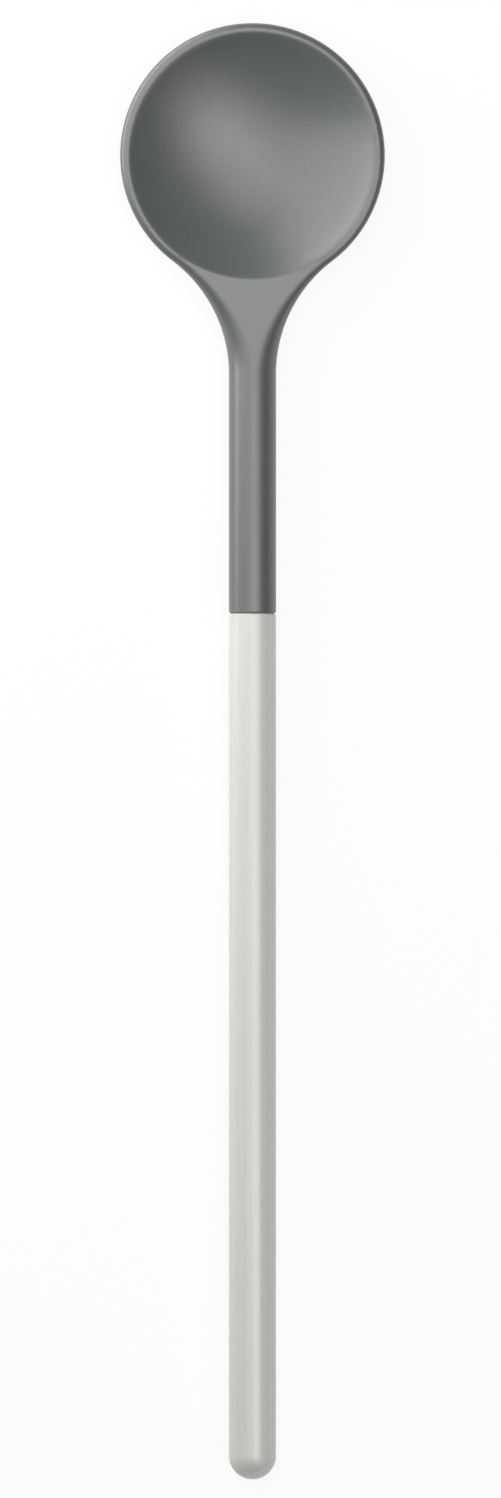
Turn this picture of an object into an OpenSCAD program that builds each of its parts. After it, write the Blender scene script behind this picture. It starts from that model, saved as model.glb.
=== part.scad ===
// Long cooking spoon: a round shallow bowl on a straight round stick.
// The grey head, with its bowl, flared neck and the upper part of the stick, is one moulding.
// The light handle is moulded over the head's grooved spigot and over a steel core rod.
// The spoon lies on its back along X with the bowl at +X, and z = 0 is the bowl's lowest point.

/* [Bowl] */
// Outside diameter of the bowl at its rim
bowl_d = 63.6; // [56:0.2:72]
// Depth of the round hollow below the rim
bowl_depth = 9.6; // [8:0.1:12]
// Thickness of the bowl's floor where it is deepest
floor_t = 2.4; // [2:0.1:4]
// Width of the rim, from the outline to the edge of the hollow
rim_w = 2.15; // [1.9:0.05:3]
// Radius that rounds the rim's outer edge
rim_r = 1.6; // [1.2:0.05:1.85]
// Thickness of the bowl's wall at the outline
lip_t = 2.6; // [2.3:0.1:3.4]
// Width over which the underside rounds up to the outline
lip_w = 2.4; // [1.8:0.1:4]
// Chamfer that breaks the edge of the hollow
hollow_chamfer = 0.25; // [0.15:0.05:0.5]

/* [Neck] */
// Radius of the hollow curve that flares the stick out to the bowl
flare_r = 33.8; // [26:0.2:42]
// Distance behind the bowl's centre where the rounded edge starts to thicken
edge_start = 22; // [16:0.5:25]
// Thickness of the neck where it runs under the back of the bowl
neck_t = 8; // [6.5:0.1:10]
// Distance behind the bowl's centre where the keel under the neck ends
keel_start = 28; // [22:0.5:32]
// Radius of the keel's rounded nose and sides
keel_r = 9; // [6:0.5:16]
// Reach of the soft blend between the keel and the bowl's belly
keel_blend = 5; // [2:0.5:8]
// Reach of the soft blend between the belly and the thick edges of the flare
edge_blend = 2; // [1:0.1:4]

/* [Stick] */
// Diameter of the round stick, the same in both colours
stick_d = 11.36; // [10:0.02:13]
// Length of the head, from the tip of the bowl to the seam
head_len = 141.8; // [125:0.2:170]
// Length of the handle, from the seam to its domed end
handle_len = 208.2; // [170:0.2:250]
// Chamfer on each side of the seam
seam_chamfer = 0.4; // [0.1:0.05:0.6]

/* [Spigot] */
// Diameter of the spigot that locks the head into the handle
spigot_d = 8; // [7:0.1:9]
// Length of the spigot
spigot_len = 24; // [20:0.5:36]
// Width of each locking groove round the spigot
spigot_groove_w = 2; // [1.5:0.1:2.6]
// Depth of each locking groove
spigot_groove_t = 0.8; // [0.4:0.1:1]
// Distance between the middles of the grooves
spigot_groove_pitch = 6; // [5:0.1:6.6]
// Number of grooves round the spigot
spigot_grooves = 3; // [1:1:3]

/* [Core rod] */
// Diameter of the steel core rod
rod_d = 4; // [3:0.1:4.8]
// Solid plastic left between the rod and the neck's flare
rod_head_cover = 4; // [2:0.5:10]
// Solid plastic left between the rod and the tip of the dome
rod_end_cover = 12; // [8:0.5:20]
// Chamfer on the rod's ends
rod_chamfer = 0.4; // [0.2:0.1:0.8]
// Width of each keying groove round the rod
rod_groove_w = 1.6; // [1:0.1:2.5]
// Depth of each keying groove
rod_groove_t = 0.4; // [0.2:0.1:0.6]
// Distance between the middles of the keying grooves
rod_groove_pitch = 5; // [4:0.1:7]
// Number of keying grooves at each end of the rod
rod_grooves = 3; // [1:1:4]

/* [Hidden] */
$fn = 96;

head_grey = "#7d807f";
handle_grey = "#d9dad4";
steel = "silver";

// Bond line left between mouldings and what they are moulded on
bond = 0.02;
// Overrun that carries a cut past the face that it opens
overrun = 1;
// Length of the stub with which the lofted skin enters the turned stick, and how much it narrows
stub_len = 2;
stub_taper = 0.06;
// Half width that the neck's flat top still has where it runs out on the stick
least_flat = 0.03;

// Number of ribs round the bowl's front half, on each shoulder behind it and along each flare
front_ribs = 44;
shoulder_ribs = 13;
flare_ribs = 14;
// Facets across the belly, round the lower edge and round the upper edge of each rib
belly_facets = 9;
lower_facets = 6;
upper_facets = 5;

bowl_r = bowl_d / 2;
stick_r = stick_d / 2;
outer_depth = bowl_depth + floor_t;
rim_z = outer_depth;
axis_z = rim_z - stick_r;
tip_x = (head_len + handle_len) / 2;
bowl_x = tip_x - bowl_r;
seam_x = tip_x - head_len;
end_x = -tip_x;

// The hollow is a ball's cap, and the belly under it is a flatter one that reaches the lip
hollow_r = bowl_r - rim_w;
hollow_ball_r = (hollow_r ^ 2 + bowl_depth ^ 2) / (2 * bowl_depth);
hollow_foot_r = sqrt(hollow_ball_r ^ 2 - (hollow_ball_r - bowl_depth + hollow_chamfer) ^ 2);
hollow_slope = (hollow_r + hollow_chamfer - hollow_foot_r) / hollow_chamfer;
belly_drop = outer_depth - lip_t;
belly_ball_r = (bowl_r ^ 2 + belly_drop ^ 2) / (2 * belly_drop);

// The flare is an arc that is tangent to the bowl's outline and to the stick's side
flare_y = stick_r + flare_r;
flare_back = sqrt((bowl_r + flare_r) ^ 2 - flare_y ^ 2);
flare_angle = atan2(flare_back, flare_y);
flare_x = bowl_x - flare_back;
skin_x = flare_x - stub_len;
joint_x = flare_x - stub_len / 2;

rod_front_x = flare_x - rod_head_cover;
rod_back_x = end_x + rod_end_cover;

function smooth(t) = let (u = min(max(t, 0), 1)) u * u * (3 - 2 * u);
function mix(a, b, t) = a + (b - a) * t;
function soft_max(a, b, reach) =
    reach > 0 ? max(a, b) + max(reach - abs(a - b), 0) ^ 2 / (4 * reach) : max(a, b);

// A rib is a straight line in plan, square to the outline:
// [point on the outline, point on the spine, share of the way from bowl to stick, place on the spine]
function rib(edge, spine_x, place) =
    [edge, [spine_x, 0], stick_share(edge.x), place];
function stick_share(x) = smooth((bowl_x - edge_start - x) / (flare_back - edge_start));

function bowl_rib(angle) =
    rib([bowl_x + bowl_r * cos(angle), bowl_r * sin(angle)], bowl_x, flare_ribs + 1);
function flare_rib(side, i) =
    let (angle = flare_angle * i / flare_ribs)
    rib([flare_x + flare_r * sin(angle), side * (flare_y - flare_r * cos(angle))],
        flare_x + flare_y * tan(angle), i + 1);
function stub_rib(side) = rib([skin_x, side * stick_r], skin_x, 0);

// The ribs run from the stick along one flare, round the bowl and back along the other flare
bowl_angles = concat(
    [for (i = [0 : shoulder_ribs - 1]) 90 + flare_angle * (1 - i / shoulder_ribs)],
    [for (i = [0 : front_ribs]) 90 - 180 * i / front_ribs],
    [for (i = [1 : shoulder_ribs]) -90 - flare_angle * i / shoulder_ribs]
);
ribs = concat(
    [stub_rib(1)],
    [for (i = [0 : flare_ribs - 1]) flare_rib(1, i)],
    [for (angle = bowl_angles) bowl_rib(angle)],
    [for (i = [flare_ribs - 1 : -1 : 0]) flare_rib(-1, i)],
    [stub_rib(-1)]
);

// Depth of the belly below the rim: the bowl's ball, the keel under the neck and the edge's own
// thickness, softly blended, and never past the stick's underside on the neck
function belly(p, share) =
    let (
        back = bowl_x - p.x,
        ball = outer_depth - belly_ball_r + sqrt(max(belly_ball_r ^ 2 - back ^ 2 - p.y ^ 2, 0)),
        along = smooth((back - keel_start) / (flare_back - keel_start)),
        nose = max(keel_start - back, 0),
        keel = mix(neck_t, stick_d, along) - (1 - along) * (nose ^ 2 + p.y ^ 2) / (2 * keel_r),
        edge = mix(lip_t, stick_d, share)
    )
    min(
        soft_max(soft_max(ball, keel, keel_blend * (1 - along)), edge, edge_blend * (1 - share)),
        max(ball, stick_d)
    );

// Distances from the outline at which a rib's underside has its points: bunched at the edge on the
// bowl, and spread evenly round the half circle on the stick
function underside_places(len, lower_w, share) =
    let (n = belly_facets + lower_facets)
    [for (i = [0 : n])
        let (
            flat = i < belly_facets
                ? mix(len, lower_w, i / belly_facets)
                : lower_w * (1 - sin(90 * (i - belly_facets) / lower_facets)),
            round = len * (1 - sin(90 * i / n))
        )
        mix(flat, round, share)];

// A rib's profile from the spine's underside, out round the edge and back in to the spine on top
function rib_points(a_rib) =
    let (
        edge = a_rib[0],
        spine = a_rib[1],
        share = a_rib[2],
        len = norm(spine - edge),
        upper_r = min(mix(rim_r, stick_r, share), len - least_flat),
        lower_w = min(mix(lip_w, stick_r, share), len),
        at = function (d) edge + (spine - edge) * d / len,
        points = concat(
            [for (d = underside_places(len, lower_w, share))
                let (p = at(d), u = max(1 - d / lower_w, 0))
                [p.x, p.y, rim_z - upper_r - (belly(p, share) - upper_r) * sqrt(max(1 - u ^ 2, 0))]],
            [for (i = [1 : upper_facets])
                let (a = 90 * i / upper_facets, p = at(upper_r * (1 - cos(a))))
                [p.x, p.y, rim_z - upper_r * (1 - sin(a))]],
            [[spine.x, spine.y, rim_z]]
        )
    )
    edge.x > skin_x ? points : [for (p = points) narrowed(p)];

// The stub's end is drawn in towards the stick's axis
function narrowed(p) =
    let (axis = [p.x, 0, axis_z])
    axis + (p - axis) * (stick_r - stub_taper) / stick_r;

// The head's outer skin, lofted rib by rib round the outline, with a flat top and no hollow yet
module head_skin() {
    profiles = [for (r = ribs) rib_points(r)];
    last = len(profiles[0]) - 1;
    places = flare_ribs + 2;
    spine_low = [for (i = [0 : places - 1]) profiles[i][0]];
    spine_high = [for (i = [0 : places - 1]) profiles[i][last]];
    skin = [for (p = profiles) for (j = [1 : last - 1]) p[j]];
    index = function (i, j)
        j == 0 ? ribs[i][3] :
        j == last ? places + ribs[i][3] :
        2 * places + i * (last - 1) + j - 1;
    quads = [for (i = [0 : len(ribs) - 2]) for (j = [0 : last - 1])
        [index(i, j), index(i + 1, j), index(i + 1, j + 1), index(i, j + 1)]];
    triangles = [for (q = quads) for (t = [[q[0], q[1], q[2]], [q[0], q[2], q[3]]])
        if (t[0] != t[1] && t[1] != t[2] && t[2] != t[0]) t];
    end_cap = concat(
        [for (j = [0 : last]) index(0, j)],
        [for (j = [last - 1 : -1 : 1]) index(len(ribs) - 1, j)]
    );
    polyhedron(concat(spine_low, spine_high, skin), concat(triangles, [end_cap]), convexity = 4);
}

// Turns a profile of [radius, x] points about the stick's axis
module turned(profile) {
    translate([0, 0, axis_z]) rotate([0, 90, 0]) rotate_extrude() polygon(profile);
}

// Points of one groove, listed towards +X, where g grows the plastic's side of the joint
function groove(middle, r, width, depth, g) = [
    [r + g, middle - width / 2 + g],
    [r - depth + g, middle - width / 2 + g],
    [r - depth + g, middle + width / 2 - g],
    [r + g, middle + width / 2 - g]
];

function spigot_profile(g) = concat(
    [[0, seam_x - spigot_len - g], [spigot_d / 2 + g, seam_x - spigot_len - g]],
    [for (i = [spigot_grooves : -1 : 1])
        each groove(seam_x - i * spigot_groove_pitch, spigot_d / 2, spigot_groove_w, spigot_groove_t, g)],
    [[spigot_d / 2 + g, seam_x]]
);

function rod_profile(g) =
    let (
        r = rod_d / 2,
        back = rod_back_x - g,
        front = rod_front_x + g,
        cut = function (middle) groove(middle, r, rod_groove_w, rod_groove_t, g)
    )
    concat(
        [[0, back], [r + g - rod_chamfer, back], [r + g, back + rod_chamfer]],
        [for (i = [1 : rod_grooves]) each cut(rod_back_x + i * rod_groove_pitch)],
        [for (i = [rod_grooves : -1 : 1]) each cut(rod_front_x - i * rod_groove_pitch)],
        [[r + g, front - rod_chamfer], [r + g - rod_chamfer, front], [0, front]]
    );

// The hollow of the bowl, with the chamfer that breaks its edge
module bowl_hollow() {
    translate([bowl_x, 0, rim_z + hollow_ball_r - bowl_depth]) sphere(hollow_ball_r);
    translate([bowl_x, 0, rim_z - 2 * hollow_chamfer])
        cylinder(
            h = 2 * hollow_chamfer + overrun,
            r1 = hollow_foot_r - hollow_slope * hollow_chamfer,
            r2 = hollow_r + hollow_chamfer + hollow_slope * overrun
        );
}

// Bowl, neck, grey end of the stick and grooved spigot in one moulding
module spoon_head() {
    stick = concat(spigot_profile(0), [
        [stick_r - seam_chamfer, seam_x],
        [stick_r, seam_x + seam_chamfer],
        [stick_r, joint_x],
        [0, joint_x + stick_r]
    ]);
    color(head_grey) difference() {
        union() {
            head_skin();
            turned(stick);
        }
        bowl_hollow();
        turned(rod_profile(bond));
    }
}

// Light handle with a domed end, moulded round the spigot and the rod
module handle() {
    dome_x = end_x + stick_r;
    barrel = [
        [0, dome_x], [stick_r, dome_x], [stick_r, seam_x - seam_chamfer],
        [stick_r - seam_chamfer, seam_x], [0, seam_x]
    ];
    socket = concat(spigot_profile(bond), [[spigot_d / 2 + bond, seam_x + overrun], [0, seam_x + overrun]]);
    color(handle_grey) difference() {
        union() {
            turned(barrel);
            translate([dome_x, 0, axis_z]) sphere(stick_r);
        }
        turned(socket);
        turned(rod_profile(bond));
    }
}

// Steel rod that stiffens the stick from the neck to the end of the handle
module core_rod() {
    color(steel) turned(rod_profile(0));
}

spoon_head();
handle();
core_rod();
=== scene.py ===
"""Dresses the cooking spoon: its moulded head, its handle, the rod inside them and a plain studio."""

import logging
import math
from dataclasses import dataclass, field
from enum import Enum

import bmesh
import bpy
from mathutils import Matrix, Vector


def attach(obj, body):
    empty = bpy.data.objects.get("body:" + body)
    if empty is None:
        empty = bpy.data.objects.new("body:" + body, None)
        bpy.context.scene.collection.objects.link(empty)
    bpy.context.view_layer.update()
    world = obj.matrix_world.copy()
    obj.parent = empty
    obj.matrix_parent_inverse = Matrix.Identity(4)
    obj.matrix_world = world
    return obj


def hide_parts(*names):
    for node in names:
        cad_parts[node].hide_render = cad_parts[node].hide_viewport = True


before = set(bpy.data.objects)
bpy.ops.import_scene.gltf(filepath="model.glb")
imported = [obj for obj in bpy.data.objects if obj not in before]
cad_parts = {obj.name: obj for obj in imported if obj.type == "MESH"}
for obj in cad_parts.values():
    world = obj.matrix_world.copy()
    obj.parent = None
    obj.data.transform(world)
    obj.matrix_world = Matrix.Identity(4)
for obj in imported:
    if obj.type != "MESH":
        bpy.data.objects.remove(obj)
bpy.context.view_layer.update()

log = logging.getLogger("spoon")

# Sizes in this file are in millimetres, apart from the studio's, and meshes are in metres
MM = 0.001
# Points of a mesh that are closer than this are one point
MERGE_MM = 0.002
# Edges that bend by more than this stay sharp
CREASE_DEG = 24.0
QUARTER_TURN = math.pi / 2
WHITE = "#ffffff"


class Body(Enum):
    """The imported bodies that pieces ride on."""

    ROOT = "root"


class Slot(Enum):
    """The record's material slots."""

    HEAD = "head_plastic"
    HANDLE = "handle_plastic"
    ROD = "rod_steel"


def smooth(t: float) -> float:
    """Ease from 0 to 1 with level ends.

    Args:
        t: Where to read the curve; values outside 0 to 1 are held.

    Returns:
        The eased value.
    """
    u = min(max(t, 0.0), 1.0)
    return u * u * (3 - 2 * u)


def mix(a: float, b: float, t: float) -> float:
    """Blend two numbers in a straight line.

    Args:
        a: Value at 0.
        b: Value at 1.
        t: Share of the way from a to b.

    Returns:
        The blended value.
    """
    return a + (b - a) * t


def soft_max(a: float, b: float, reach: float) -> float:
    """Take the larger of two depths, rounding the crease where they cross.

    Args:
        a: First depth.
        b: Second depth.
        reach: Difference within which the crease is rounded.

    Returns:
        The blended depth.
    """
    if reach <= 0:
        return max(a, b)
    return max(a, b) + max(reach - abs(a - b), 0) ** 2 / (4 * reach)


def linear(hex_colour: str) -> tuple[float, float, float, float]:
    """Turn an sRGB hex colour into the linear colour that shaders take.

    Args:
        hex_colour: Six hex digits after a hash.

    Returns:
        Linear red, green, blue and an alpha of 1.
    """
    channels = [int(hex_colour[i : i + 2], 16) / 255 for i in (1, 3, 5)]
    low, slope, offset, gamma = 0.04045, 12.92, 0.055, 2.4
    values = [c / slope if c <= low else ((c + offset) / (1 + offset)) ** gamma for c in channels]
    return (*values, 1.0)


def add_node(
    tree: bpy.types.NodeTree,
    kind: str,
    settings: dict[str, object] | None = None,
    values: dict[str | int, object] | None = None,
    links: dict[str | int, bpy.types.NodeSocket] | None = None,
) -> bpy.types.Node:
    """Add one shader node with its settings, fixed inputs and incoming links.

    Args:
        tree: Node tree that gets the node.
        kind: Blender's name for the node type.
        settings: Properties of the node itself.
        values: Input values by socket name or number.
        links: Output sockets to join to inputs, by socket name or number.

    Returns:
        The new node.
    """
    node = tree.nodes.new(kind)
    for name, value in (settings or {}).items():
        setattr(node, name, value)
    for socket, value in (values or {}).items():
        node.inputs[socket].default_value = value
    for socket, source in (links or {}).items():
        tree.links.new(source, node.inputs[socket])
    return node


def new_material(name: str) -> tuple[bpy.types.Material, bpy.types.NodeTree]:
    """Make an empty node material.

    Args:
        name: Name of the material.

    Returns:
        The material and its node tree.
    """
    material = bpy.data.materials.new(name)
    material.use_nodes = True
    material.node_tree.nodes.clear()
    return material, material.node_tree


@dataclass(frozen=True)
class MouldedPlastic:
    """A satin injection-moulded plastic, from a tool with a fine spark-eroded finish."""

    name: str
    colour: str
    roughness: float
    ior: float
    grain_mm: float
    grain_height_mm: float
    flow_mm: float
    flow_contrast: float
    roughness_spread: float

    def material(self) -> bpy.types.Material:
        """Build the material.

        Returns:
            The material, with grain, faint flow mottling and an uneven sheen.
        """
        material, tree = new_material(self.name)
        place = add_node(tree, "ShaderNodeTexCoord").outputs["Object"]
        grain = add_node(
            tree,
            "ShaderNodeTexNoise",
            values={"Scale": 1 / (self.grain_mm * MM), "Detail": 2.0, "Roughness": 0.5},
            links={"Vector": place},
        )
        flow = add_node(
            tree,
            "ShaderNodeTexNoise",
            values={"Scale": 1 / (self.flow_mm * MM), "Detail": 3.0, "Roughness": 0.55},
            links={"Vector": place},
        )
        tone = add_node(
            tree,
            "ShaderNodeMapRange",
            values={"To Min": 1 - self.flow_contrast, "To Max": 1 + self.flow_contrast},
            links={"Value": flow.outputs["Fac"]},
        )
        colour = add_node(
            tree,
            "ShaderNodeVectorMath",
            settings={"operation": "SCALE"},
            values={0: linear(self.colour)[:3]},
            links={"Scale": tone.outputs["Result"]},
        )
        sheen = add_node(
            tree,
            "ShaderNodeMapRange",
            values={
                "To Min": self.roughness - self.roughness_spread,
                "To Max": self.roughness + self.roughness_spread,
            },
            links={"Value": flow.outputs["Fac"]},
        )
        bump = add_node(
            tree,
            "ShaderNodeBump",
            values={"Strength": 1.0, "Distance": self.grain_height_mm * MM},
            links={"Height": grain.outputs["Fac"]},
        )
        shader = add_node(
            tree,
            "ShaderNodeBsdfPrincipled",
            values={"IOR": self.ior},
            links={
                "Base Color": colour.outputs["Vector"],
                "Roughness": sheen.outputs["Result"],
                "Normal": bump.outputs["Normal"],
            },
        )
        add_node(tree, "ShaderNodeOutputMaterial", links={"Surface": shader.outputs["BSDF"]})
        return material


@dataclass(frozen=True)
class DrawnSteel:
    """Stainless wire, drawn through a die, which leaves fine lines along its length."""

    name: str
    colour: str
    roughness: float
    line_mm: float
    line_length_mm: float
    line_height_mm: float

    def material(self) -> bpy.types.Material:
        """Build the material.

        Returns:
            The material, with its drawing lines along X.
        """
        material, tree = new_material(self.name)
        place = add_node(tree, "ShaderNodeTexCoord").outputs["Object"]
        across, along = 1 / (self.line_mm * MM), 1 / (self.line_length_mm * MM)
        stretched = add_node(
            tree,
            "ShaderNodeMapping",
            values={"Scale": (along, across, across)},
            links={"Vector": place},
        )
        lines = add_node(
            tree,
            "ShaderNodeTexNoise",
            values={"Scale": 1.0, "Detail": 2.0},
            links={"Vector": stretched.outputs["Vector"]},
        )
        bump = add_node(
            tree,
            "ShaderNodeBump",
            values={"Strength": 1.0, "Distance": self.line_height_mm * MM},
            links={"Height": lines.outputs["Fac"]},
        )
        shader = add_node(
            tree,
            "ShaderNodeBsdfPrincipled",
            values={"Base Color": linear(self.colour), "Metallic": 1.0, "Roughness": self.roughness},
            links={"Normal": bump.outputs["Normal"]},
        )
        add_node(tree, "ShaderNodeOutputMaterial", links={"Surface": shader.outputs["BSDF"]})
        return material


# The grain that a spark-eroded tool leaves on both plastics is about 0.1 mm wide and a few
# micrometres high. That is too fine to show, so it is drawn coarser and higher than it is.

# Glass-filled nylon from such a tool: an even satin grey whose sheen is wide and soft. Its IOR is
# raised from nylon's usual 1.53, because the photographed head reflects more strongly.
HEAD_NYLON = MouldedPlastic(
    name="satin_moulded_nylon_mid_grey",
    colour="#4f5352",
    roughness=0.35,
    ior=1.75,
    grain_mm=0.5,
    grain_height_mm=0.03,
    flow_mm=9.0,
    flow_contrast=0.03,
    roughness_spread=0.02,
)
# Polypropylene from the same kind of tool: light warm grey, a little glossier than the head. Its IOR
# is raised from the usual 1.49 for the same reason.
HANDLE_POLYPROPYLENE = MouldedPlastic(
    name="satin_moulded_polypropylene_light_grey",
    colour="#c0c1bb",
    roughness=0.22,
    ior=1.61,
    grain_mm=0.5,
    grain_height_mm=0.015,
    flow_mm=12.0,
    flow_contrast=0.015,
    roughness_spread=0.02,
)
# Cold-drawn stainless wire: bright, with fine lines along it
ROD_STEEL = DrawnSteel(
    name="cold_drawn_stainless_wire",
    colour="#c8c6c2",
    roughness=0.3,
    line_mm=0.08,
    line_length_mm=6.0,
    line_height_mm=0.003,
)


def finished_object(
    name: str, bm: bmesh.types.BMesh, finish: MouldedPlastic
) -> bpy.types.Object:
    """Turn a bmesh into a smooth-shaded object with its material and its body.

    Args:
        name: Name of the piece.
        bm: The mesh, which is freed.
        finish: What the piece is made of.

    Returns:
        The new object.
    """
    for face in bm.faces:
        face.smooth = True
    for edge in bm.edges:
        edge.smooth = len(edge.link_faces) == 2 and edge.calc_face_angle() < math.radians(CREASE_DEG)
    mesh = bpy.data.meshes.new(name)
    bm.to_mesh(mesh)
    bm.free()
    mesh.materials.append(finish.material())
    obj = bpy.data.objects.new(name, mesh)
    bpy.context.scene.collection.objects.link(obj)
    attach(obj, Body.ROOT.value)
    return obj


@dataclass(frozen=True)
class Stick:
    """The round stick that the head and the handle share, lying along X."""

    diameter: float = 11.36
    axis_z: float = 6.32
    seam_x: float = 33.2
    end_x: float = -175.0
    seam_chamfer: float = 0.4
    # Facets round the handle
    around: int = 128

    @property
    def radius(self) -> float:
        """Radius of the stick."""
        return self.diameter / 2


@dataclass(frozen=True)
class Spigot:
    """The grooved spigot that locks the head into the handle."""

    diameter: float = 8.0
    length: float = 24.0
    groove_width: float = 2.0
    groove_depth: float = 0.8
    groove_pitch: float = 6.0
    grooves: int = 3

    def profile(self, seam_x: float, gap: float) -> list[tuple[float, float]]:
        """List the spigot's outline from its free end to the seam.

        Args:
            seam_x: Place of the seam along X.
            gap: How far the outline is grown, for the socket.

        Returns:
            Points of x and radius.
        """
        r = self.diameter / 2 + gap
        deep = r - self.groove_depth
        half = self.groove_width / 2 - gap
        points = [(seam_x - self.length - gap, r)]
        for i in range(self.grooves, 0, -1):
            middle = seam_x - i * self.groove_pitch
            start, stop = middle - half, middle + half
            points += [(start, r), (start, deep), (stop, deep), (stop, r)]
        return points + [(seam_x, r)]


@dataclass
class SpoonHead:
    """Bowl, flared neck, grey end of the stick and spigot, moulded in one piece."""

    stick: Stick
    spigot: Spigot
    # Bowl, its hollow and the floor under it, and the rim with its roundings above and below
    bowl_d: float = 63.6
    bowl_depth: float = 9.6
    floor_t: float = 2.4
    rim_w: float = 2.15
    rim_r: float = 1.6
    lip_t: float = 2.6
    lip_w: float = 2.4
    hollow_chamfer: float = 0.25
    flat_margin: float = 0.1
    # Flare from bowl to stick. Its edge thickens from edge_start on and the keel under it from
    # keel_start on, both counted back from the middle of the bowl
    flare_r: float = 33.8
    edge_start: float = 22.0
    neck_t: float = 8.0
    keel_start: float = 28.0
    keel_r: float = 9.0
    keel_blend: float = 5.0
    edge_blend: float = 2.0
    # Tip of the bowl, and the blind bore for the rod
    tip_x: float = 175.0
    bore_r: float = 2.02
    bore_cover: float = 4.0
    # Facets: ribs along the outline, and steps along each rib
    flare_ribs: int = 36
    shoulder_ribs: int = 26
    front_ribs: int = 45
    belly_steps: int = 22
    lower_steps: int = 12
    upper_steps: int = 12
    hollow_steps: int = 30
    name: str = "head_moulding"
    finish: MouldedPlastic = HEAD_NYLON
    # Places and angles that follow from the sizes
    bowl_r: float = field(init=False)
    bowl_x: float = field(init=False)
    depth: float = field(init=False)
    hollow_r: float = field(init=False)
    hollow_ball_r: float = field(init=False)
    hollow_foot: float = field(init=False)
    belly_ball_r: float = field(init=False)
    flare_y: float = field(init=False)
    flare_back: float = field(init=False)
    flare_angle: float = field(init=False)
    flare_x: float = field(init=False)

    def __post_init__(self) -> None:
        """Work out the places that follow from the sizes."""
        self.bowl_r = self.bowl_d / 2
        self.bowl_x = self.tip_x - self.bowl_r
        self.depth = self.bowl_depth + self.floor_t
        self.hollow_r = self.bowl_r - self.rim_w
        self.hollow_ball_r = (self.hollow_r**2 + self.bowl_depth**2) / (2 * self.bowl_depth)
        foot_height = self.hollow_ball_r - self.bowl_depth + self.hollow_chamfer
        self.hollow_foot = math.acos(foot_height / self.hollow_ball_r)
        drop = self.depth - self.lip_t
        self.belly_ball_r = (self.bowl_r**2 + drop**2) / (2 * drop)
        self.flare_y = self.stick.radius + self.flare_r
        self.flare_back = math.sqrt((self.bowl_r + self.flare_r) ** 2 - self.flare_y**2)
        self.flare_angle = math.atan2(self.flare_back, self.flare_y)
        self.flare_x = self.bowl_x - self.flare_back

    def ribs(self) -> list[tuple[Vector, Vector]]:
        """List the ribs of one half, from the stick round to the tip of the bowl.

        Returns:
            For each rib its point on the outline and its point on the middle plane, seen from above.
        """
        found = []
        for i in range(self.flare_ribs):
            a = self.flare_angle * i / self.flare_ribs
            x = self.flare_x + self.flare_r * math.sin(a)
            y = self.flare_y - self.flare_r * math.cos(a)
            found.append((Vector((x, y)), Vector((self.flare_x + self.flare_y * math.tan(a), 0))))
        shoulder = [1 - i / self.shoulder_ribs for i in range(self.shoulder_ribs)]
        front = [1 - i / self.front_ribs for i in range(self.front_ribs + 1)]
        angles = [QUARTER_TURN + self.flare_angle * t for t in shoulder]
        angles += [QUARTER_TURN * t for t in front]
        centre = Vector((self.bowl_x, 0))
        for a in angles:
            found.append((centre + self.bowl_r * Vector((math.cos(a), math.sin(a))), centre))
        return found

    def belly(self, place: Vector, share: float) -> float:
        """Depth of the underside below the rim's plane.

        Args:
            place: Point seen from above.
            share: Share of the way from the bowl to the stick.

        Returns:
            The depth: ball, keel and edge softly blended.
        """
        back = self.bowl_x - place.x
        inside = max(self.belly_ball_r**2 - back**2 - place.y**2, 0)
        ball = self.depth - self.belly_ball_r + math.sqrt(inside)
        along = smooth((back - self.keel_start) / (self.flare_back - self.keel_start))
        nose = max(self.keel_start - back, 0)
        thick = mix(self.neck_t, self.stick.diameter, along)
        keel = thick - (1 - along) * (nose**2 + place.y**2) / (2 * self.keel_r)
        edge = mix(self.lip_t, self.stick.diameter, share)
        depth = soft_max(ball, keel, self.keel_blend * (1 - along))
        depth = soft_max(depth, edge, self.edge_blend * (1 - share))
        return min(depth, max(ball, self.stick.diameter))

    def underside_places(self, length: float, lower_w: float, share: float) -> list[float]:
        """List the distances from the outline at which the underside has its points.

        Args:
            length: Length of the rib.
            lower_w: Width of the lower rounding.
            share: Share of the way from the bowl to the stick.

        Returns:
            Distances, from the middle plane out to the outline.
        """
        steps = self.belly_steps + self.lower_steps
        places = []
        for i in range(steps + 1):
            if i < self.belly_steps:
                flat = mix(length, lower_w, i / self.belly_steps)
            else:
                turn = QUARTER_TURN * (i - self.belly_steps) / self.lower_steps
                flat = lower_w * (1 - math.sin(turn))
            even = length * (1 - math.sin(QUARTER_TURN * i / steps))
            places.append(mix(flat, even, share))
        return places

    def outer_profile(self, edge: Vector, spine: Vector) -> list[Vector]:
        """Place one rib's points from the middle of the underside, round the edge, to the flat top.

        Args:
            edge: The rib's point on the outline.
            spine: The rib's point on the middle plane.

        Returns:
            Points in millimetres.
        """
        share = smooth((self.bowl_x - self.edge_start - edge.x) / (self.flare_back - self.edge_start))
        length = (spine - edge).length
        upper_r = min(mix(self.rim_r, self.stick.radius, share), length)
        lower_w = min(mix(self.lip_w, self.stick.radius, share), length)
        points = []
        for d in self.underside_places(length, lower_w, share):
            p = edge.lerp(spine, d / length)
            u = max(1 - d / lower_w, 0)
            z = self.depth - upper_r - (self.belly(p, share) - upper_r) * math.sqrt(max(1 - u * u, 0))
            points.append(Vector((p.x, p.y, z)))
        for i in range(1, self.upper_steps + 1):
            a = QUARTER_TURN * i / self.upper_steps
            p = edge.lerp(spine, upper_r * (1 - math.cos(a)) / length)
            points.append(Vector((p.x, p.y, self.depth - upper_r * (1 - math.sin(a)))))
        # A narrow strip beside the rounding keeps the shading of the flat top level
        p = edge.lerp(spine, min(upper_r + self.flat_margin, length) / length)
        return points + [Vector((p.x, p.y, self.depth))]

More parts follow.
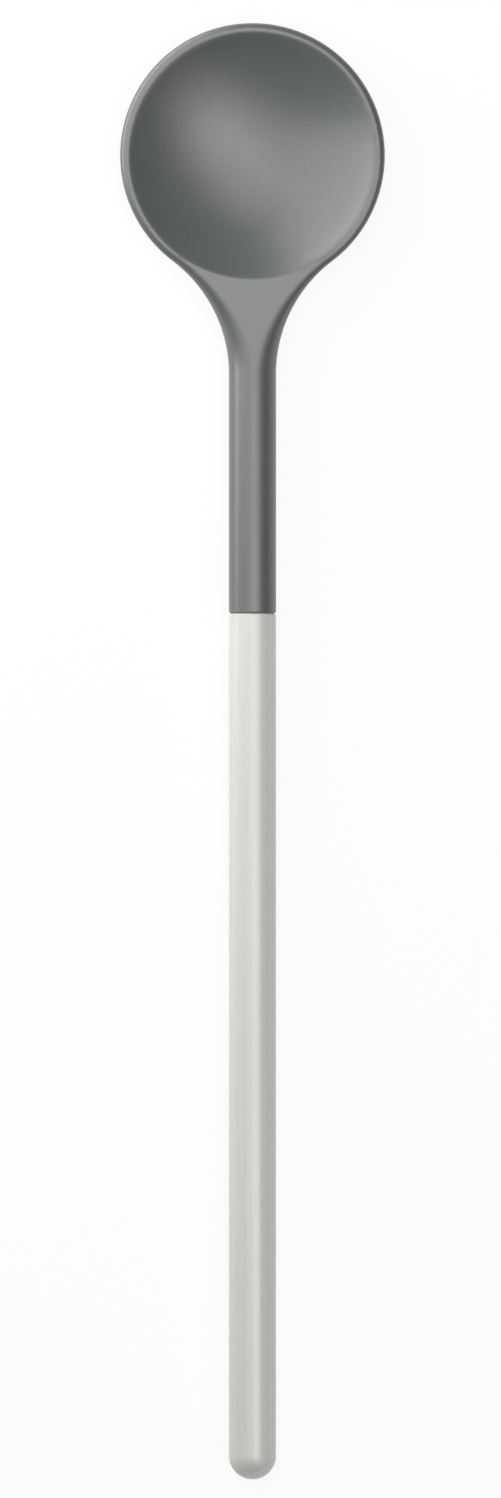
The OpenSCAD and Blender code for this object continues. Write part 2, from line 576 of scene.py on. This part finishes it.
    def hollow_profile(self, towards: Vector) -> list[Vector]:
        """Place one line of points from the hollow's edge down to the middle of its floor.

        Args:
            towards: Point of the flat top that the line starts from.

        Returns:
            Points in millimetres, starting with the flat's margin and the chamfer.
        """
        centre = Vector((self.bowl_x, 0))
        out = (towards.xy - centre).normalized()
        ball_z = self.depth + self.hollow_ball_r - self.bowl_depth
        points = []
        for margin in (self.flat_margin, 0):
            top = centre + out * (self.hollow_r + self.hollow_chamfer + margin)
            points.append(Vector((top.x, top.y, self.depth)))
        for i in range(self.hollow_steps + 1):
            a = self.hollow_foot * (1 - i / self.hollow_steps)
            p = centre + out * self.hollow_ball_r * math.sin(a)
            points.append(Vector((p.x, p.y, ball_z - self.hollow_ball_r * math.cos(a))))
        return points

    def loft(self, bm: bmesh.types.BMesh) -> None:
        """Extrude a line of points from rib to rib, over one half of the head.

        Args:
            bm: Empty mesh that gets the half skin, in metres.
        """
        line: list[bmesh.types.BMVert] = []
        for edge, spine in self.ribs():
            outer = self.outer_profile(edge, spine)
            points = outer + self.hollow_profile(outer[-1])
            if not line:
                line = [bm.verts.new(p * MM) for p in points]
                for a, b in zip(line, line[1:]):
                    bm.edges.new((a, b))
                continue
            edges = [bm.edges.get((a, b)) for a, b in zip(line, line[1:])]
            made = bmesh.ops.extrude_edge_only(bm, edges=edges)["geom"]
            new = {v for v in made if isinstance(v, bmesh.types.BMVert)}
            line = [next(e.other_vert(v) for e in v.link_edges if e.other_vert(v) in new) for v in line]
            for v, p in zip(line, points):
                v.co = p * MM

    def extrude_stick(self, bm: bmesh.types.BMesh) -> None:
        """Extrude the open ring behind the neck into the stick, the spigot and the rod's bore.

        Args:
            bm: The whole skin, open only where the stick starts.
        """
        axis = Vector((0, 0, self.stick.axis_z)) * MM
        r = self.stick.radius
        stations = [
            (self.stick.seam_x + self.stick.seam_chamfer, r),
            (self.stick.seam_x, r - self.stick.seam_chamfer),
        ]
        stations += reversed(self.spigot.profile(self.stick.seam_x, 0))
        stations += [
            (self.stick.seam_x - self.spigot.length, self.bore_r),
            (self.flare_x - self.bore_cover, self.bore_r),
        ]
        ring = [e for e in bm.edges if len(e.link_faces) == 1]
        last_r = r
        for x, radius in stations:
            made = bmesh.ops.extrude_edge_only(bm, edges=ring)["geom"]
            verts = [v for v in made if isinstance(v, bmesh.types.BMVert)]
            ring = [e for e in made if isinstance(e, bmesh.types.BMEdge) and len(e.link_faces) == 1]
            for v in verts:
                v.co = Vector((x * MM, v.co.y, v.co.z))
            bmesh.ops.scale(
                bm,
                vec=Vector((1, radius / last_r, radius / last_r)),
                verts=verts,
                space=Matrix.Translation(-axis),
            )
            last_r = radius
        bmesh.ops.edgeloop_fill(bm, edges=ring)

    def build(self) -> bpy.types.Object:
        """Build the head and let it stand for the CAD node.

        Returns:
            The head.
        """
        bm = bmesh.new()
        self.loft(bm)
        merge = MERGE_MM * MM
        skin = bm.verts[:] + bm.edges[:] + bm.faces[:]
        bmesh.ops.mirror(bm, geom=skin, axis="Y", merge_dist=merge)
        bmesh.ops.remove_doubles(bm, verts=bm.verts[:], dist=merge)
        bmesh.ops.dissolve_degenerate(bm, edges=bm.edges[:], dist=merge)
        self.extrude_stick(bm)
        bmesh.ops.recalc_face_normals(bm, faces=bm.faces[:])
        obj = finished_object(self.name, bm, self.finish)
        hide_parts("spoon_head")
        return obj


@dataclass
class Handle:
    """The light handle, moulded round the spigot and the rod, with a domed end."""

    stick: Stick
    spigot: Spigot
    # Room between the handle and what it is moulded round, the bore for the rod, and the solid end
    gap: float = 0.02
    bore_r: float = 2.02
    end_cover: float = 12.0
    # Facets along the barrel and the dome
    barrel_steps: int = 24
    dome_steps: int = 24
    name: str = "handle_moulding"
    finish: MouldedPlastic = HANDLE_POLYPROPYLENE

    def profile(self) -> list[tuple[float, float]]:
        """List the outline that is spun, from the bore's blind end round to the tip of the dome.

        Returns:
            Points of x and radius.
        """
        r, x = self.stick.radius, self.stick.seam_x
        chamfer = self.stick.seam_chamfer
        dome_x = self.stick.end_x + r
        socket = self.spigot.profile(x, self.gap)
        bore_x = self.stick.end_x + self.end_cover
        points = [(bore_x, 0.0), (bore_x, self.bore_r), (socket[0][0], self.bore_r), *socket]
        points += [(x, r - chamfer)]
        shares = [i / self.barrel_steps for i in range(self.barrel_steps)]
        points += [(mix(x - chamfer, dome_x, t), r) for t in shares]
        for i in range(self.dome_steps + 1):
            a = QUARTER_TURN * i / self.dome_steps
            points.append((dome_x - r * math.sin(a), r * math.cos(a)))
        return points

    def build(self) -> bpy.types.Object:
        """Spin the handle and let it stand for the CAD node.

        Returns:
            The handle.
        """
        bm = bmesh.new()
        axis_z = self.stick.axis_z
        line = [bm.verts.new(Vector((x, 0, axis_z + radius)) * MM) for x, radius in self.profile()]
        edges = [bm.edges.new((a, b)) for a, b in zip(line, line[1:])]
        bmesh.ops.spin(
            bm,
            geom=line + edges,
            cent=Vector((0, 0, axis_z)) * MM,
            axis=Vector((1, 0, 0)),
            angle=2 * math.pi,
            steps=self.stick.around,
            use_merge=True,
        )
        bmesh.ops.remove_doubles(bm, verts=bm.verts[:], dist=MERGE_MM * MM)
        bmesh.ops.recalc_face_normals(bm, faces=bm.faces[:])
        obj = finished_object(self.name, bm, self.finish)
        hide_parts("handle")
        return obj


@dataclass
class CoreRod:
    """The steel rod inside the stick, which stays as the CAD node."""

    node: str = "core_rod"
    finish: DrawnSteel = ROD_STEEL

    def build(self) -> bpy.types.Object:
        """Dress the CAD node.

        Returns:
            The rod.
        """
        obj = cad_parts[self.node]
        obj.data.materials.clear()
        obj.data.materials.append(self.finish.material())
        return obj


@dataclass
class Softbox:
    """One soft lamp of the studio, in metres, placed by its direction from the point it is aimed at."""

    name: str
    azimuth_deg: float
    tilt_deg: float
    distance: float
    aim: tuple[float, float]
    size: tuple[float, float]
    roll_deg: float
    radiance: float

    def build(self) -> bpy.types.Object:
        """Hang the lamp; azimuth 0 is the picture's left and 90 its top, and tilt counts from overhead.

        Returns:
            The lamp.
        """
        width, height = self.size
        data = bpy.data.lights.new(self.name, "AREA")
        data.shape = "RECTANGLE"
        data.size, data.size_y = width, height
        # Watts that give a panel of this size the wanted radiance
        data.energy = self.radiance * math.pi * width * height
        obj = bpy.data.objects.new(self.name, data)
        bpy.context.scene.collection.objects.link(obj)
        turn = (
            Matrix.Rotation(math.radians(90 - self.azimuth_deg), 4, "Z")
            @ Matrix.Rotation(math.radians(self.tilt_deg), 4, "Y")
        )
        roll = Matrix.Rotation(math.radians(self.roll_deg), 4, "Z")
        away = Matrix.Translation((0, 0, self.distance)) @ roll
        obj.matrix_world = Matrix.Translation((*self.aim, 0)) @ turn @ away
        obj.visible_camera = False
        return obj


@dataclass
class Studio:
    """White floor, soft light and the camera straight above the spoon.

    The spoon's sizes are in millimetres, its places in the photograph in pixels, and the floor is in
    metres.
    """

    image_w: int = 501
    image_h: int = 1498
    spoon_px: float = 1456.3
    spoon_middle_px: tuple[float, float] = (252.5, 751.6)
    spoon_length: float = 350.0
    # Height of the level at which the spoon's length fills its pixels
    spoon_mid_z: float = 8.4
    lens: float = 400.0
    sensor: float = 36.0
    floor_size: float = 30.0
    floor_colour: str = "#e2e2e2"
    # Share of plain white in the floor that the camera, gloss and glass see; the rest is lit paper,
    # which keeps the spoon's shadow
    floor_whiteness: float = 0.9
    world_light: float = 0.12
    # Each lamp's name, azimuth, tilt, distance, aim, size, roll and radiance
    lamps: list[Softbox] = field(
        default_factory=lambda: [
            Softbox("overhead_softbox", 47.3, -0.3, 1.58, (0.333, -0.305), (1.92, 1.04), -1.0, 2.20),
            Softbox("side_softbox", 8.1, 64.5, 0.62, (0.287, -0.302), (0.47, 0.64), -0.5, 2.40),
            Softbox("wide_softbox", 32.0, -11.6, 1.51, (-0.227, -0.091), (2.42, 0.97), 3.6, 1.43),
            Softbox("low_strip", 32.6, 83.5, 0.65, (0.112, -0.105), (0.11, 0.98), -0.2, 7.43),
        ]
    )

    def camera(self) -> bpy.types.Object:
        """Place the camera above the spoon, with the bowl at the top of the picture.

        Returns:
            The camera.
        """
        mm_per_px = self.spoon_length / self.spoon_px
        right_px = self.spoon_middle_px[0] - self.image_w / 2
        down_px = self.spoon_middle_px[1] - self.image_h / 2
        distance = self.image_h * mm_per_px * MM * self.lens / self.sensor
        data = bpy.data.cameras.new("camera")
        data.lens, data.sensor_width = self.lens, self.sensor
        data.clip_start, data.clip_end = 0.1, 100.0
        obj = bpy.data.objects.new("camera", data)
        bpy.context.scene.collection.objects.link(obj)
        up, right = Vector((1, 0, 0)), Vector((0, -1, 0))
        place = (up * down_px - right * right_px) * mm_per_px * MM
        place.z = self.spoon_mid_z * MM + distance
        turn = Matrix((right, up, Vector((0, 0, 1)))).transposed()
        obj.matrix_world = Matrix.Translation(place) @ turn.to_4x4()
        bpy.context.scene.camera = obj
        return obj

    def floor(self) -> bpy.types.Object:
        """Lay the white floor that the spoon rests on.

        Returns:
            The floor.
        """
        bm = bmesh.new()
        bmesh.ops.create_grid(bm, x_segments=1, y_segments=1, size=self.floor_size / 2)
        mesh = bpy.data.meshes.new("floor")
        bm.to_mesh(mesh)
        bm.free()
        # Matt white paper, which scatters light and has no gloss
        material, tree = new_material("white_paper_floor")
        paper = add_node(tree, "ShaderNodeBsdfDiffuse", values={"Color": linear(self.floor_colour)})
        white = add_node(
            tree, "ShaderNodeEmission", values={"Color": linear(WHITE), "Strength": 1.0}
        )
        seen = add_node(
            tree,
            "ShaderNodeMixShader",
            links={
                0: self.seen_share(tree, self.floor_whiteness),
                1: paper.outputs["BSDF"],
                2: white.outputs["Emission"],
            },
        )
        add_node(tree, "ShaderNodeOutputMaterial", links={"Surface": seen.outputs["Shader"]})
        mesh.materials.append(material)
        obj = bpy.data.objects.new("floor", mesh)
        bpy.context.scene.collection.objects.link(obj)
        return obj

    def seen_share(self, tree: bpy.types.NodeTree, share: float) -> bpy.types.NodeSocket:
        """Give a share to what the camera, gloss and glass see, and none to the light on things.

        Args:
            tree: Node tree of the floor.
            share: Value for camera, glossy and transmission rays.

        Returns:
            The socket that carries the share.
        """
        path = add_node(tree, "ShaderNodeLightPath")
        seen = path.outputs["Is Camera Ray"]
        for ray in ("Is Glossy Ray", "Is Transmission Ray"):
            seen = add_node(
                tree,
                "ShaderNodeMath",
                settings={"operation": "MAXIMUM"},
                links={0: seen, 1: path.outputs[ray]},
            ).outputs["Value"]
        scaled = add_node(
            tree,
            "ShaderNodeMath",
            settings={"operation": "MULTIPLY"},
            values={1: share},
            links={0: seen},
        )
        return scaled.outputs["Value"]

    def world(self) -> None:
        """Surround the scene with even light."""
        world = bpy.data.worlds.new("studio")
        bpy.context.scene.world = world
        world.use_nodes = True
        tree = world.node_tree
        tree.nodes.clear()
        light = add_node(
            tree,
            "ShaderNodeBackground",
            values={"Color": linear(WHITE), "Strength": self.world_light},
        )
        add_node(tree, "ShaderNodeOutputWorld", links={"Surface": light.outputs["Background"]})

    def build(self) -> None:
        """Set up the camera, the floor, the lamps and the surroundings."""
        scene = bpy.context.scene
        scene.view_settings.view_transform = "Standard"
        self.camera()
        self.floor()
        self.world()
        for lamp in self.lamps:
            lamp.build()


def main() -> None:
    """Build the spoon and its studio, and report each piece."""
    logging.basicConfig(level=logging.INFO, format="%(message)s")
    stick, spigot = Stick(), Spigot()
    Studio().build()
    pieces = [SpoonHead(stick, spigot).build(), Handle(stick, spigot).build(), CoreRod().build()]
    for piece in pieces:
        log.info("%s: %d faces", piece.name, len(piece.data.polygons))


if __name__ == "__main__":
    main()
